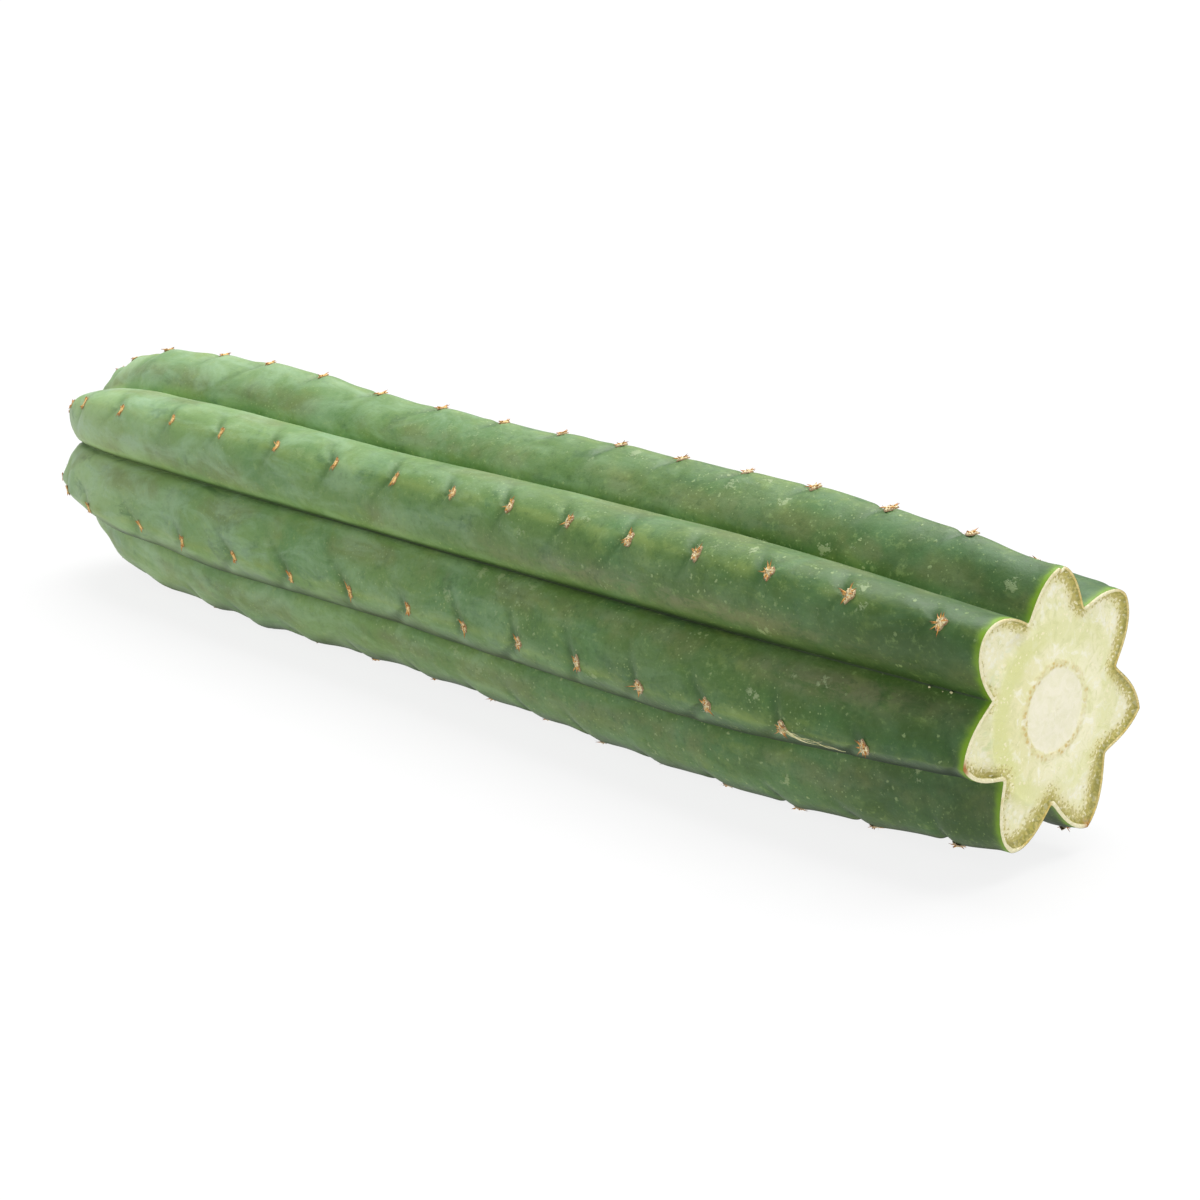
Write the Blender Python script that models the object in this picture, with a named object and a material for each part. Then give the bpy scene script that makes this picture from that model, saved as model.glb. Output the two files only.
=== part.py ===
"""A cut stem of a ribbed column cactus, lying on its side on the ground.

The stem is one grown piece: seven ribs run from the flat cut end to the blunt tip, where they
curl over and meet at the growing point.  It is modelled as one closed solid, cut face included.

Axes: +X from the tip to the cut end, +Y to the right for someone facing the cut, +Z up.
The origin is the middle of the bounding box's underside.  All lengths are in metres.
"""

import bpy
import numpy as np

# ---- Overall sizes ----------------------------------------------------------------------------
STEM_LENGTH = 0.412        # cut face to the highest ring of the tip
TIP_LENGTH = 0.062         # the part at the tip where the ribs curl over
TIP_PIT_DEPTH = 0.008      # how far the growing point lies below that ring
TIP_RING_RADIUS = 0.0148   # radius of that ring, the highest line of the tip
CREST_RADIUS = 0.040       # mean distance from the axis to a rib's crest, at the cut
TWIST_DEG = 2.3            # turn of the ribs about the axis from the cut to the tip

# Girth along the stem: (distance from the cut, crest radius over the radius at the cut).
GIRTH = (
    (0.000, 1.000),
    (0.080, 1.136),
    (0.160, 1.114),
    (0.240, 1.063),
    (0.320, 1.081),
    (0.384, 0.978),
)
BODY_START = 0.200         # from here on a rib keeps its body radius

# ---- Ribs and grooves, in order round the stem ------------------------------------------------
# Each rib: angle in degrees from +Y towards +Z, then how far its crest stands out beyond
# CREST_RADIUS, at the cut and in the body.  The stem lies on the first rib and the last.
RIBS = (
    (293.4, 0.0022, 0.0000),
    (345.6, -0.0014, -0.0011),
    (401.1, -0.0023, -0.0020),
    (449.9, -0.0018, -0.0017),
    (499.8, -0.0001, -0.0004),
    (554.0, -0.0018, -0.0032),
    (607.3, 0.0008, 0.0002),
)
# Each groove, the first one just before the first rib: angle, then how far its floor lies inside
# CREST_RADIUS, at the cut and in the body.
GROOVES = (
    (271.0, 0.0116, 0.0116),
    (320.5, 0.0102, 0.0102),
    (371.0, 0.0137, 0.0137),
    (427.0, 0.0130, 0.0135),
    (477.0, 0.0118, 0.0110),
    (525.0, 0.0127, 0.0107),
    (579.0, 0.0138, 0.0101),
)
GROOVE_DEPTH_MIDDLE = 0.81  # groove depth half way along, over its depth at either end
RIB_ROUNDNESS = 1.2         # 1 gives a sharp groove and a round crest, more opens the groove

# ---- Areole dips: each crest dips a little at every areole ------------------------------------
AREOLE_DIP = 0.0006        # half the height of the waves along a crest
AREOLE_PITCH = 0.0264      # mean distance between neighbours on one rib
AREOLE_PHASES = (0.55, 0.05, 0.40, 0.88, 0.35, 0.97, 0.65)  # start of each rib's row, in pitches

# ---- How it lies ------------------------------------------------------------------------------
AXIS_SLOPE = 0.0113        # fall of the axis towards the tip, per metre of length
AXIS_SAG = 0.0008          # how far the middle hangs below the straight line

# ---- Cut face ---------------------------------------------------------------------------------
RIM_WIDTH = 0.0012         # flat edge of the tough skin layers
DISH_DEPTH = 0.0012        # how far the soft flesh has shrunk below the rim
PITH_RADIUS = 0.0122
PITH_CENTRE = (0.0010, -0.0012)   # from the axis, along +Y and +Z
PITH_RISE = 0.0004         # the pith stands this far above the flesh around it
RING_WIDTH = 0.0028        # vascular ring round the pith

# ---- Mesh density -----------------------------------------------------------------------------
STEPS_PER_FLANK = 4
BODY_ROWS = 46
TIP_ROWS = 10
PIT_ROWS = 4


def smooth_through(x, stations):
    """Value at x of the smooth curve through (place, value) stations.

    Between two stations it is the cubic whose end slopes are those of the line through the
    neighbours on either side (a Catmull-Rom curve)."""
    place, value = np.array(stations).T
    slope = np.gradient(value, place)
    i = np.clip(np.searchsorted(place, x) - 1, 0, len(place) - 2)
    step = place[i + 1] - place[i]
    u = (x - place[i]) / step
    return (
        value[i] * (2 * u**3 - 3 * u**2 + 1)
        + slope[i] * step * (u**3 - 2 * u**2 + u)
        + value[i + 1] * (3 * u**2 - 2 * u**3)
        + slope[i + 1] * step * (u**3 - u**2)
    )


def meridian():
    """The crest line in a plane through the axis: distances from the cut and from the axis.

    A long body of slowly changing girth, then a quarter ellipse down to the ring of the tip,
    then a quarter ellipse down into the pit at the growing point.  Ends on the axis."""
    tip_start = STEM_LENGTH - TIP_LENGTH
    along = np.linspace(0, tip_start, BODY_ROWS)
    radius = CREST_RADIUS * smooth_through(along, GIRTH)
    turn = np.linspace(0, np.pi / 2, TIP_ROWS + 1)[1:]
    tip_along = tip_start + TIP_LENGTH * np.sin(turn)
    tip_radius = TIP_RING_RADIUS + (radius[-1] - TIP_RING_RADIUS) * np.cos(turn)
    turn = np.linspace(0, np.pi / 2, PIT_ROWS + 1)[1:]
    pit_along = STEM_LENGTH - TIP_PIT_DEPTH * (1 - np.cos(turn))
    pit_radius = TIP_RING_RADIUS * (1 - np.sin(turn))
    return np.concatenate([along, tip_along, pit_along]), np.concatenate([radius, tip_radius, pit_radius])


def outward_normal(along, radius):
    """Unit normals of the meridian: (part along the axis, part away from the axis)."""
    d_along = np.gradient(along)
    d_radius = np.gradient(radius)
    size = np.hypot(d_along, d_radius)
    in_body = along < STEM_LENGTH - TIP_LENGTH
    return np.where(in_body, 0.0, -d_radius / size), np.where(in_body, 1.0, d_along / size)


def columns():
    """Round the stem, from groove floor to crest to groove floor for each rib in turn.

    Returns arrays with one entry per column: angle, height between groove floor (0) and crest (1),
    how far crest and floor lie from CREST_RADIUS at the cut and in the body, and the areole phase."""
    steps = np.arange(STEPS_PER_FLANK) / STEPS_PER_FLANK
    found = []
    for number, (crest_angle, crest_cut, crest_body) in enumerate(RIBS):
        after = GROOVES[(number + 1) % len(GROOVES)]
        wrap = 360.0 if number == len(RIBS) - 1 else 0.0
        for (floor_angle, floor_cut, floor_body), turn, rising in (
            (GROOVES[number], 0.0, True),
            (after, wrap, False),
        ):
            up = steps if rising else 1 - steps
            angle = floor_angle + turn + (crest_angle - floor_angle - turn) * up
            height = np.sin(np.pi / 2 * up) ** RIB_ROUNDNESS
            same = np.ones(STEPS_PER_FLANK)
            found.append(
                np.array([
                    angle,
                    height,
                    crest_cut * same,
                    crest_body * same,
                    floor_cut * same,
                    floor_body * same,
                    AREOLE_PHASES[number] * same,
                ])
            )
    return np.concatenate(found, axis=1)


def axis_height(along):
    """Height of the axis at each distance from the cut, over its height at the cut."""
    bow = along / STEM_LENGTH * (1 - along / STEM_LENGTH) * 4
    return -AXIS_SLOPE * along - AXIS_SAG * bow


def skin_points():
    """The outside as rows along the stem and columns round it: array (rows, columns, 3), with the
    middle of the cut at the origin and the stem reaching along -X.

    Each point starts on the meridian and moves along its normal: outwards by what its rib stands
    above the mean, inwards by the depth of the groove, both fading out at the growing point."""
    along, radius = meridian()
    normal_along, normal_out = outward_normal(along, radius)
    angle, height, crest_cut, crest_body, floor_cut, floor_body, phase = columns()
    t, r = along[:, None], radius[:, None]
    body = np.clip(t / BODY_START, 0, 1)
    crest = crest_cut * (1 - body) + crest_body * body
    floor = floor_cut * (1 - body) + floor_body * body
    half_way = STEM_LENGTH / 2
    depth_share = 1 - (1 - GROOVE_DEPTH_MIDDLE) * np.clip(1 - np.abs(t - half_way) / half_way, 0, 1)
    wave = np.cos(2 * np.pi * (t / AREOLE_PITCH - phase))
    fade = np.clip(r / (0.55 * CREST_RADIUS), 0, 1)
    fade = fade * fade * (3 - 2 * fade)
    girth = r / CREST_RADIUS
    offset = crest - (crest + floor) * depth_share * (1 - height)
    offset = (girth * offset - AREOLE_DIP * wave * height**4) * fade
    turned = np.radians(angle + TWIST_DEG * t / STEM_LENGTH)
    from_axis = r + offset * normal_out[:, None]
    from_cut = t + offset * normal_along[:, None]
    across = from_axis * np.cos(turned)
    upward = axis_height(t) + from_axis * np.sin(turned)
    return np.stack([-from_cut + 0 * across, across, upward], axis=-1)


def cut_rings(outline):
    """Rings of the cut face from the rim inwards: rim edge, dished flesh, vascular ring, pith.

    Each ring is the outline shrunk towards a circle round the pith's centre; what it has shrunk by
    and how deep it lies give the flat rim and the shallow dish of the soft flesh."""
    centre = np.array([0.0, *PITH_CENTRE])
    spoke = outline - centre
    reach = np.linalg.norm(spoke, axis=1, keepdims=True)
    ray = spoke / reach
    pith_floor = DISH_DEPTH - PITH_RISE
    ring_outer = PITH_RADIUS + RING_WIDTH
    shrunk = [
        (reach - RIM_WIDTH, 0.0),
        (reach - 1.6 * RIM_WIDTH, 0.6 * DISH_DEPTH),
        (ring_outer + 0.45 * (reach - ring_outer), DISH_DEPTH),
        (ring_outer + 0 * reach, DISH_DEPTH),
        (PITH_RADIUS + 0 * reach, pith_floor),
    ]
    rings = [centre + ray * length - np.array([depth, 0, 0]) for length, depth in shrunk]
    return np.array(rings), centre - np.array([pith_floor, 0, 0])


def closed_mesh(name, rows, end_of_first, end_of_last):
    """One closed mesh from rings of points, each end closed with a fan of triangles to a point.

    It is placed with the middle of its bounding box's underside on the origin."""
    count, around = rows.shape[:2]
    points = np.concatenate([rows.reshape(-1, 3), [end_of_first, end_of_last]])
    low, high = points.min(axis=0), points.max(axis=0)
    points -= [(low[0] + high[0]) / 2, (low[1] + high[1]) / 2, low[2]]
    i = np.arange(count - 1)[:, None] * around
    j = np.arange(around)[None, :]
    k = (j + 1) % around
    quads = np.stack([i + j, i + around + j, i + around + k, i + k], axis=-1).reshape(-1, 4)
    j, k = j[0], k[0]
    first = np.stack([j, k, np.full(around, count * around)], axis=-1)
    base = (count - 1) * around
    last = np.stack([base + k, base + j, np.full(around, count * around + 1)], axis=-1)
    mesh = bpy.data.meshes.new(name)
    mesh.from_pydata(points.tolist(), [], quads.tolist() + first.tolist() + last.tolist())
    mesh.update()
    return mesh


def principled(name, colour, roughness):
    """A plain Principled material for a part that isn't metal."""
    material = bpy.data.materials.new(name)
    material.use_nodes = True
    shader = material.node_tree.nodes["Principled BSDF"]
    shader.inputs["Base Color"].default_value = (*colour, 1.0)
    shader.inputs["Roughness"].default_value = roughness
    shader.inputs["Metallic"].default_value = 0.0
    return material


def build_stem():
    """Cut face rings first, then the skin from the cut to the growing point."""
    skin = skin_points()
    rings, pith_middle = cut_rings(skin[0])
    growing_point = skin[-1].mean(axis=0)
    rows = np.concatenate([rings[::-1], skin[:-1]])
    mesh = closed_mesh("stem", rows, pith_middle, growing_point)
    around = skin.shape[1]
    cut_faces = len(rings) * around
    mesh.materials.append(principled("cactus_skin", (0.060, 0.135, 0.062), 0.55))
    mesh.materials.append(principled("cut_flesh", (0.640, 0.680, 0.360), 0.45))
    slot = np.zeros(len(mesh.polygons), dtype=np.int32)
    slot[:cut_faces] = 1
    slot[-2 * around:-around] = 1
    mesh.polygons.foreach_set("material_index", slot)
    mesh.polygons.foreach_set("use_smooth", slot == 0)
    return bpy.data.objects.new("stem", mesh)


def main():
    for old in list(bpy.data.objects):
        bpy.data.objects.remove(old)
    collection = bpy.data.collections.new("cut_cactus_stem")
    bpy.context.scene.collection.children.link(collection)
    collection.objects.link(build_stem())


main()
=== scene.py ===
# %% [markdown]
# # A cut cactus stem
#
# The object is the tip end of a column cactus, cut flat and laid on its side: seven ribs, rows of
# felt pads with short spines, and a pale star where the knife went through.
#
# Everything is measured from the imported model, which is loaded first.  One stem is one grown
# piece, so the model has one node.  This script gives that node its living surface.

# %% Load the frame
import math

import bpy
import numpy as np
from mathutils import Matrix, Vector


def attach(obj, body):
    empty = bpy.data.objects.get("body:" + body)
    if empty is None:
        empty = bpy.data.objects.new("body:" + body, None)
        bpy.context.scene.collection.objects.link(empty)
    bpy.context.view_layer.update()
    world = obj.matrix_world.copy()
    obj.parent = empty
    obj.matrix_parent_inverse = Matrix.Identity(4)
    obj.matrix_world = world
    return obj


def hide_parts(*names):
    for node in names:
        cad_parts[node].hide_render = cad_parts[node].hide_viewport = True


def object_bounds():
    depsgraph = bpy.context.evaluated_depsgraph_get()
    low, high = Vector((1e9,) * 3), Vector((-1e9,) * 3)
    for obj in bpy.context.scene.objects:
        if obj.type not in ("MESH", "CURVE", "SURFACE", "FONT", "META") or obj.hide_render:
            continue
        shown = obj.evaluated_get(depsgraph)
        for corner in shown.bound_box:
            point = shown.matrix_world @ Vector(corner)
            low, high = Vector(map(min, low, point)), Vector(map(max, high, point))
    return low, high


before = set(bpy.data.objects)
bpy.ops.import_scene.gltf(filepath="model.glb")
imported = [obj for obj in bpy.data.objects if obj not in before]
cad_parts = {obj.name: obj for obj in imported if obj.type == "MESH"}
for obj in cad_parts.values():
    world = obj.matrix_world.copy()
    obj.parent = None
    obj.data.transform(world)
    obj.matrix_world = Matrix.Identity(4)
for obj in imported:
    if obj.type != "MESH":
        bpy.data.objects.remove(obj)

cad_box = [list(corner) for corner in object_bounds()]
low, high = np.array(cad_box)
print("model box", low.round(4), high.round(4))

# %% [markdown]
# ## Where things are
#
# The stem lies along X, with its cut at the high end.  Two numbers describe a place on the skin:
# `along`, the distance from the cut measured over the surface to the growing point, and `turn`,
# which counts ribs: whole numbers are groove floors, and halves are rib crests.  Everything on the
# skin, from creases to spines, is placed with those two numbers, so it all stays together.

# %% Sizes of the stem
MM = 0.001
STEM_LENGTH = 412 * MM
TIP_LENGTH = 63.5 * MM        # where the ribs curl over
TIP_ARC = 71 * MM             # the same stretch, measured over the surface
PIT_ARC = 18 * MM             # from the tip's highest ring down to the growing point
PIT_DEPTH = 8 * MM
RING_RADIUS = 14.8 * MM
CREST_RADIUS = 40 * MM
BODY_START = 200 * MM         # from here on a rib keeps its body radius
TIP_START = 350 * MM
WHOLE_LENGTH = TIP_START + TIP_ARC + PIT_ARC
TWIST = math.radians(2.3)
AXIS_SLOPE, AXIS_SAG = 0.0113, 0.8 * MM
RIBS = 7

# Crest radius along the stem, as (distance from the cut, share of the radius at the cut).
GIRTH = ((0, 1), (0.08, 1.136), (0.16, 1.114), (0.24, 1.063), (0.32, 1.081), (0.384, 0.978))

# Rib by rib: crest angle from +Y towards +Z, then how far the crest stands beyond CREST_RADIUS
# at the cut and in the body.  The stem lies on the first rib and the last.
CREST_DEG = np.array([293.4, 345.6, 401.1, 449.9, 499.8, 554.0, 607.3])
CREST_CUT = np.array([2.2, -1.4, -2.3, -1.8, -0.1, -1.8, 0.8]) * MM
CREST_BODY = np.array([0.0, -1.1, -2.0, -1.7, -0.4, -3.2, 0.2]) * MM
# Groove by groove, the first one before the first rib: angle, and depth inside CREST_RADIUS.
FLOOR_DEG = np.array([271.0, 320.5, 371.0, 427.0, 477.0, 525.0, 579.0, 631.0])
FLOOR_CUT = np.array([11.6, 10.2, 13.7, 13.0, 11.8, 12.7, 13.8, 11.6]) * MM
FLOOR_BODY = np.array([11.6, 10.2, 13.7, 13.5, 11.0, 10.7, 10.1, 11.6]) * MM
FLANK_WIDTH = 22 * MM         # crest to groove floor, over the surface
# At the cut: how tightly each rib's top curves (1 is a sine), and how pointed it is.
ROUND_CUT = np.array([1.35, 1.35, 1.25, 1.25, 1.02, 1.25, 1.25])
POINTED = np.array([0.35, 0.50, 0.12, 0.22, 0.0, 0.38, 0.12])
TIP_SWELL = np.array([0.0, 0.0, 0.0, 0.6, 0.9, 2.6, 0.8]) * MM      # how much fuller each rib ends


def smooth_through(x, stations):
    """Catmull-Rom curve through (place, value) stations: between two of them, the cubic whose end
    slopes are those of the line through the neighbours on either side."""
    place, value = np.array(stations, float).T
    slope = np.gradient(value, place)
    i = np.clip(np.searchsorted(place, x) - 1, 0, len(place) - 2)
    step = place[i + 1] - place[i]
    u = (x - place[i]) / step
    return (value[i] * (2 * u**3 - 3 * u**2 + 1) + slope[i] * step * (u**3 - 2 * u**2 + u)
            + value[i + 1] * (3 * u**2 - 2 * u**3) + slope[i + 1] * step * (u**3 - u**2))


def smoothstep(x, start, end):
    """0 before start, 1 after end, and 3u2 - 2u3 between them."""
    u = np.clip((x - start) / (end - start), 0, 1)
    return u * u * (3 - 2 * u)


def bell(x, width):
    """1 at x = 0, and falling away on both sides: exp(-(x / width)2)."""
    return np.exp(-((x / width) ** 2))


print("from cut to growing point, over the surface:", round(WHOLE_LENGTH / MM), "mm")

# %% [markdown]
# ## Rows of areoles
#
# An areole is the felt pad that a cactus spine grows from, and they sit in a row on each rib's
# crest.  They are laid down at the growing point and drift apart as the stem stretches, so they
# are widest apart near the cut.  One curve gives the place of the n-th pad of a row, and each rib
# starts its row at another fraction of a step, as the leaf spiral of the plant would have it.

# %% Places of the areoles
PAD_STATIONS = ((0, 0), (1, 0.0315), (2, 0.0595), (4, 0.1133), (6, 0.1642), (8, 0.2145),
                (10, 0.2705), (12, 0.3246), (14, 0.3720), (16, 0.4020), (18, 0.4200), (20, 0.4310))
PAD_PHASE = np.array([0.25, 0.70, 0.00, 0.96, 0.42, 0.00, 0.56])   # per rib, in steps
PADS_PER_RIB = 19
pad_along = smooth_through(np.arange(PADS_PER_RIB)[None, :] + PAD_PHASE[:, None], PAD_STATIONS)
pad_step = np.gradient(pad_along, axis=1)
print("areoles:", pad_along.size, "steps from", (pad_step.max() / MM).round(1), "to",
      (pad_step.min() / MM).round(1), "mm")

# %% [markdown]
# ## The shape of the skin
#
# The crest line is a long gentle curve, then a quarter ellipse over the tip, then another down
# into the pit where new growth comes from.  The skin starts on that line and moves along the
# line's normal: in at the grooves, out at the crests.  Fine relief is added in the same direction.
#
# The relief carries what makes a cactus look grown instead of turned on a lathe.  Each areole sits
# on a small swelling, with a sharp crease just beyond it where the next one begins, and the flanks
# have slow dents and folds that are stronger near the soft young tip.

# %% The skin as a function of two numbers
def crest_line(along):
    """(distance from the cut, distance from the axis): body curve, quarter ellipse, quarter ellipse."""
    body = np.minimum(along, TIP_START)
    radius = CREST_RADIUS * smooth_through(body, GIRTH)
    tip = np.clip((along - TIP_START) / TIP_ARC, 0, 1) * np.pi / 2
    pit = np.clip((along - TIP_START - TIP_ARC) / PIT_ARC, 0, 1) * np.pi / 2
    from_cut = body + TIP_LENGTH * np.sin(tip) - PIT_DEPTH * (1 - np.cos(pit))
    outer = RING_RADIUS + (radius - RING_RADIUS) * np.cos(tip)
    return from_cut, np.where(pit > 0, RING_RADIUS * (1 - np.sin(pit)), outer)


def bumps(place, size, seed):
    """Smooth random heights from -1 to 1: a random number at each corner of cubes of this size,
    blended through each cube with 3u2 - 2u3 along every side."""
    rng = np.random.default_rng(seed)
    order, heights = rng.permutation(1024), rng.uniform(-1, 1, 1024)
    cell = place / size
    base = np.floor(cell).astype(int)
    part = cell - base
    part = part * part * (3 - 2 * part)
    total = 0
    for corner in np.ndindex(2, 2, 2):
        x, y, z = np.moveaxis(base + corner, -1, 0)
        key = order[(order[(order[x % 1024] + y) % 1024] + z) % 1024]
        total = total + np.where(corner, part, 1 - part).prod(-1) * heights[key]
    return total


def on_barrel(along, turn, stretch=1.0):
    """A place on a plain round barrel, so that random bumps join up all the way round it."""
    a = 2 * np.pi * turn / RIBS
    return np.stack([along * stretch, CREST_RADIUS * np.cos(a), CREST_RADIUS * np.sin(a)], -1)


# Each areole's crease on each of its two flanks: how far it slants to the tip, and how deep it is.
rng = np.random.default_rng(12)
CREASE_SLANT = rng.uniform(0.25, 0.85, (RIBS, PADS_PER_RIB, 2))
CREASE_DEPTH = rng.uniform(0.60, 1.35, (RIBS, PADS_PER_RIB, 2))


def crease_profile(along, rib, up, side, sharp=1.0):
    """0 on plain skin, up to about 1.3 inside a crease.  With d the distance beyond the areole and
    q the distance from the crest, it is depth bell(d - line) bell(q), where the line leaves the
    crest 2.4 mm beyond the areole and slants towards the tip as it goes down the flank."""
    q = ((1 - up) * FLANK_WIDTH)[..., None]
    d = along[..., None] - pad_along[rib]
    close = np.sqrt(pad_step[rib] / (26 * MM))
    line = (2.4 * MM + CREASE_SLANT[rib, :, side] * q) * close
    width = (1.5 * MM + 0.10 * q) * close / sharp
    depth = CREASE_DEPTH[rib, :, side]
    return (depth * bell(d - line, width) * bell(q, 5.5 * MM + 5 * MM * depth)).sum(-1)


def relief(along, rib, turn, up, side):
    """Outward height of the fine shape.  With d the distance beyond an areole and q the distance
    from the crest, it is a swelling bell(d) bell(q) under each areole, less the crease and the
    hollow beyond it, plus random bumps of three sizes.  It fades out at the cut, at the growing
    point and in the groove floors.  The fourth rib's crest has a nick at the cut."""
    q = (1 - up) * FLANK_WIDTH
    young = smoothstep(along, 0.14, 0.38)
    step = pad_step[rib]
    d = along[..., None] - pad_along[rib]
    swell = bell(d + 1.5 * MM, 0.27 * step).sum(-1) * bell(q, 8 * MM)
    hollow = bell(d - 3.4 * MM, 2.3 * MM).sum(-1) * bell(q, 4.5 * MM)
    crease = crease_profile(along, rib, up, side)
    barrel = on_barrel(along, turn, 0.8)
    large = bumps(barrel, 0.034, 3)
    middle = bumps(on_barrel(along + 0.5 * q, turn), 0.013, 4)
    small = bumps(on_barrel(along + 0.7 * q, turn, 0.8), 0.0055, 5)
    fine = (0.62 + 0.25 * young) * swell - (0.85 - 0.20 * young) * crease - 0.50 * hollow
    rough = 0.55 * large + (0.34 + 0.42 * young) * middle + (0.12 + 0.08 * young) * small
    nick = np.where(rib == 3, 0.9 * bell(q, 0.8 * MM) * np.exp(-along / (2.5 * MM)), 0)
    at_cut = smoothstep(along, 0, 0.006)
    at_tip = 1 - smoothstep(along, WHOLE_LENGTH - 0.03, WHOLE_LENGTH - 0.004)
    off_floor = smoothstep(up, 0.0, 0.30)
    return ((fine + rough) * off_floor * at_cut * at_tip - nick) * MM


def skin_point(along, turn, lift=0.0):
    """Place of the skin for distances `along` and rib counts `turn`, moved outwards by lift.

    It starts on the crest line and moves along the line's normal by
    crest_out - (crest_out + depth) shallow (1 - height), plus the relief.  Height is 0 in a groove
    and 1 on a crest: a power of sin(pi/2 up), blended with a pointed up^1.35, most at the cut."""
    along, turn = np.broadcast_arrays(np.asarray(along, float), np.asarray(turn, float))
    turn = np.mod(turn, RIBS)
    rib = np.minimum(turn.astype(int), RIBS - 1)
    part = turn - rib
    rising = part < 0.5
    up = 1 - np.abs(2 * part - 1)
    floor = rib + np.where(rising, 0, 1)
    from_cut, radius = crest_line(along)
    ahead, behind = crest_line(along + 1e-4), crest_line(along - 1e-4)
    run, fall = ahead[0] - behind[0], ahead[1] - behind[1]
    size = np.hypot(run, fall)
    in_body = along < TIP_START
    normal_along = np.where(in_body, 0, -fall / size)
    normal_out = np.where(in_body, 1, run / size)
    body = np.clip(from_cut / BODY_START, 0, 1)
    crest_out = CREST_CUT[rib] * (1 - body) + CREST_BODY[rib] * body
    depth = FLOOR_CUT[floor] * (1 - body) + FLOOR_BODY[floor] * body
    half = STEM_LENGTH / 2
    shallow = 1 - 0.15 * np.clip(1 - np.abs(from_cut - half) / half, 0, 1)
    in_mid = smoothstep(from_cut, 0.0, 0.11)
    plump = ROUND_CUT[rib] * (1 - in_mid) + 0.74 * in_mid - 0.08 * smoothstep(from_cut, 0.2, 0.36)
    height = np.sin(np.pi / 2 * up) ** plump
    point = POINTED[rib] * (1 - 0.6 * smoothstep(from_cut, 0.0, 0.10))
    height = (1 - point) * height + point * up ** 1.35
    girth = radius / CREST_RADIUS
    fade = smoothstep(radius, 0, 0.55 * CREST_RADIUS)
    offset = (crest_out - (crest_out + depth) * shallow * (1 - height)) * girth * fade
    slit = 1.1 * MM * bell(up, 0.07) * in_mid * fade
    offset = offset + TIP_SWELL[rib] * up ** 0.7 * smoothstep(along, 0.345, 0.385) * fade
    offset = offset - slit + relief(along, rib, turn, up, np.where(rising, 0, 1)) + lift
    angle = FLOOR_DEG[floor] + (CREST_DEG[rib] - FLOOR_DEG[floor]) * up
    wander = 1.0 * bumps(on_barrel(along, turn), 0.08, 21) * smoothstep(along, 0.0, 0.06)
    angle = np.radians(angle + wander) + TWIST * from_cut / STEM_LENGTH
    out = radius + offset * normal_out
    bow = 4 * from_cut / STEM_LENGTH * (1 - from_cut / STEM_LENGTH)
    drop = AXIS_SLOPE * from_cut + AXIS_SAG * bow
    place = np.stack([-from_cut - offset * normal_along, out * np.cos(angle), out * np.sin(angle) - drop], -1)
    return place + AXIS_AT_CUT


# The cut's middle, from the model's box: its end face, its middle, and the ground it lies on.
AXIS_AT_CUT = np.array([high[0], (low[1] + high[1]) / 2 - 0.74 * MM, low[2] + 45.5 * MM])
first_crest = skin_point(np.linspace(0, 0.4, 200), 0.5)
print("crest nearest the ground:", (first_crest[:, 2].min() / MM).round(2), "mm")

# %% [markdown]
# ## Putting a grid into a mesh
#
# Every piece here is a grid of points worked out as whole arrays.  Two helpers turn grids into
# faces and one turns points and faces into an object.  A grid can close on itself round the
# second direction, and its ends can be closed with a fan to a single point.

# %% Mesh helpers
def unit(vectors):
    """The same directions, each with length 1."""
    return vectors / np.linalg.norm(vectors, axis=-1, keepdims=True)


def grid_faces(rows, columns):
    """Quads between neighbouring rows, and between neighbouring columns of a ring that closes."""
    i = np.arange(rows - 1)[:, None] * columns
    j = np.arange(columns)[None, :]
    k = (j + 1) % columns
    return np.stack([i + j, i + columns + j, i + columns + k, i + k], -1).reshape(-1, 4)


def fan_faces(ring, tip, flip=False):
    """Triangles from each pair of neighbours on a closed ring to one point."""
    nxt = np.roll(ring, -1)
    tips = np.full(len(ring), tip)
    return np.stack([ring, nxt, tips] if flip else [nxt, ring, tips], -1)


def copies(faces, count, points_each):
    """The same faces for each of `count` like bodies whose points follow one another."""
    return (faces[None] + (np.arange(count) * points_each)[:, None, None]).reshape(-1, faces.shape[1])


def new_piece(name, points, faces, material, values=None):
    """An object at the origin from arrays of points and of faces, riding on the stem's body.

    `values` holds named numbers, one for each point, that the material can read."""
    points = np.array(points, np.float32)
    points[:, 2] = np.maximum(points[:, 2], low[2] + 0.02 * MM)     # pressed flat where it lies
    mesh = bpy.data.meshes.new(name)
    groups = faces if isinstance(faces, (list, tuple)) else [faces]
    corners = np.concatenate([g.reshape(-1) for g in groups]).astype(np.int32)
    sizes = np.concatenate([np.full(len(g), g.shape[1]) for g in groups]).astype(np.int32)
    mesh.vertices.add(len(points))
    mesh.vertices.foreach_set("co", points.reshape(-1))
    mesh.loops.add(len(corners))
    mesh.loops.foreach_set("vertex_index", corners)
    mesh.polygons.add(len(sizes))
    mesh.polygons.foreach_set("loop_start", np.concatenate([[0], np.cumsum(sizes)[:-1]]).astype(np.int32))
    mesh.polygons.foreach_set("use_smooth", np.full(len(sizes), True))
    for key, numbers in (values or {}).items():
        numbers = np.asarray(numbers, np.float32)
        is_vector = numbers.ndim == 2 and numbers.shape[1] == 3
        kind, field = ("FLOAT_VECTOR", "vector") if is_vector else ("FLOAT", "value")
        layer = mesh.attributes.new(key, kind, "POINT")
        layer.data.foreach_set(field, numbers.reshape(-1))
    mesh.materials.append(material)
    mesh.update(calc_edges=True)
    mesh.validate()
    piece = bpy.data.objects.new(name, mesh)
    bpy.context.scene.collection.objects.link(piece)
    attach(piece, "root")
    print(name, len(points), "points,", len(sizes), "faces")
    return piece


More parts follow.
